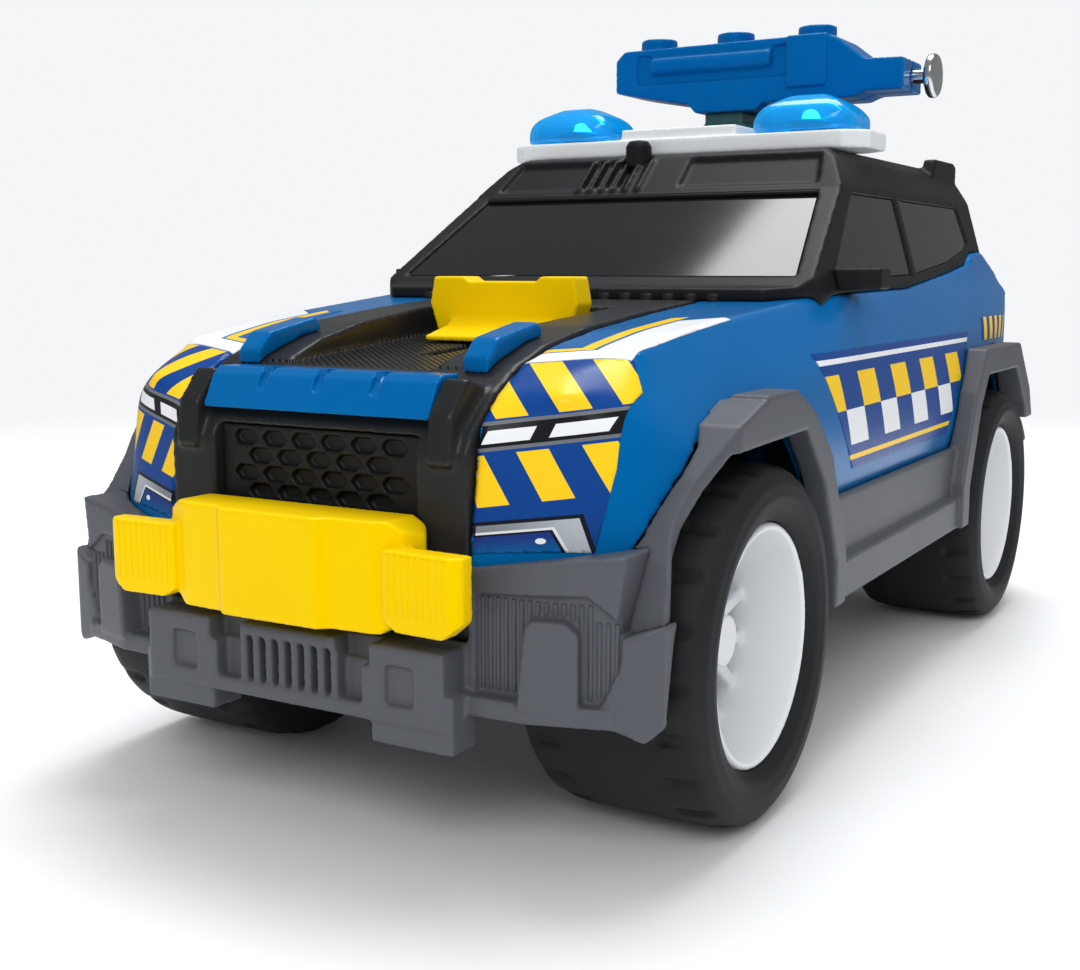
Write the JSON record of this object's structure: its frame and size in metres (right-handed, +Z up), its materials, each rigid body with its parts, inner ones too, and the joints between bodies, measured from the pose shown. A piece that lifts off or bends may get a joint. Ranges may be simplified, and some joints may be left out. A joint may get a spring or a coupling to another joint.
{
  "type": "toy police car",
  "caption": "Toy police off-road car with free-rolling wheels, a lever-worked sliding ram bumper, a roof light bar and a swivelling water squirter with a pull plunger.",
  "frame": {"origin": "on the ground under the middle of the car's overall box", "axes": "+X the car's left side, -Y the car's front, +Z up"},
  "size_m": [0.125, 0.26, 0.1486],
  "materials": {
    "blue_plastic": "glossy moulded plastic, police blue",
    "grey_trim": "satin mid grey moulding",
    "black_plastic": "satin black moulding",
    "black_gloss": "semi-gloss black moulding",
    "dark_pane": "glossy opaque dark pane",
    "yellow_plastic": "glossy warm yellow",
    "white_plastic": "glossy white",
    "clear_blue": "clear blue moulded dome",
    "bright_dish": "vacuum-metallised dish",
    "lamp": "clear lamp body",
    "board_green": "circuit board green",
    "speaker_black": "dull black",
    "cell_label": "printed cell sleeve",
    "bright_steel": "plated steel",
    "tyre_black": "hollow soft black tyre",
    "dark_teal": "satin dark teal",
    "pale_plastic": "natural plastic",
    "chrome": "bright plated knob",
    "seal_rubber": "soft black rubber"
  },
  "bodies": {
    "car": {"floor_pan": "black_plastic", "body_shell": "blue_plastic", "front_bumper": "grey_trim", "rear_bumper": "grey_trim", "cladding_left": "grey_trim", "cladding_right": "grey_trim", "bonnet_frame": "black_gloss", "grille": "black_plastic", "nose_bar": "blue_plastic", "bonnet_rail_left": "blue_plastic", "bonnet_rail_right": "blue_plastic", "cabin": "black_plastic", "windscreen": "dark_pane", "side_windows_left": "dark_pane", "side_windows_right": "dark_pane", "rear_window": "dark_pane", "mirror_left": "black_plastic", "mirror_right": "black_plastic", "light_bar": "white_plastic", "dome_left": "clear_blue", "dome_right": "clear_blue", "reflectors": "bright_dish", "leds": "lamp", "circuit_board": "board_green", "speaker": "speaker_black", "power_switch": "speaker_black", "batteries": "cell_label", "battery_contacts": "bright_steel", "battery_door": "black_plastic", "battery_screw": "bright_steel", "body_screws": "bright_steel"},
    "front_wheels": {"front_axle": "bright_steel", "wheel_front_left": "white_plastic", "wheel_front_right": "white_plastic", "tyre_front_left": "tyre_black", "tyre_front_right": "tyre_black"},
    "rear_wheels": {"rear_axle": "bright_steel", "wheel_rear_left": "white_plastic", "wheel_rear_right": "white_plastic", "tyre_rear_left": "tyre_black", "tyre_rear_right": "tyre_black"},
    "ram": {"ram_bumper": "yellow_plastic", "ram_slide": "black_plastic", "bonnet_lever": "yellow_plastic"},
    "turret": {"turret_base": "dark_teal", "gun_shell_front": "blue_plastic", "gun_shell_rear": "blue_plastic", "gun_cylinder": "pale_plastic", "gun_nozzle": "black_plastic", "gun_screws": "bright_steel"},
    "plunger": {"plunger_rod": "bright_steel", "plunger_knob": "chrome", "piston_seal": "seal_rubber"},
    "button": {"roof_button": "black_gloss"},
    "switch": {"switch_knob": "grey_trim"}
  },
  "joints": [
    {"name": "front_axle_spin", "type": "hinge", "parent": "car", "child": "front_wheels", "pos_m": [0, -0.0785, 0.03], "axis": [1, 0, 0], "continuous": true},
    {"name": "rear_axle_spin", "type": "hinge", "parent": "car", "child": "rear_wheels", "pos_m": [0, 0.0865, 0.03], "axis": [1, 0, 0], "continuous": true},
    {"name": "ram_slide", "type": "slide", "parent": "car", "child": "ram", "axis": [0, -1, 0], "range_m": [0, 0.02]},
    {"name": "turret_swivel", "type": "hinge", "parent": "car", "child": "turret", "pos_m": [0, 0.048, 0.12], "axis": [0, 0, 1], "continuous": true},
    {"name": "plunger_slide", "type": "slide", "parent": "turret", "child": "plunger", "axis": [1, 0, 0], "range_m": [0, 0.021]},
    {"name": "button_press", "type": "slide", "parent": "car", "child": "button", "axis": [0, 0, -1], "range_m": [0, 0.0015], "stiffness_N_per_m": 400},
    {"name": "switch_slide", "type": "slide", "parent": "car", "child": "switch", "axis": [0, 1, 0], "range_m": [-0.002, 0.002]}
  ]
}
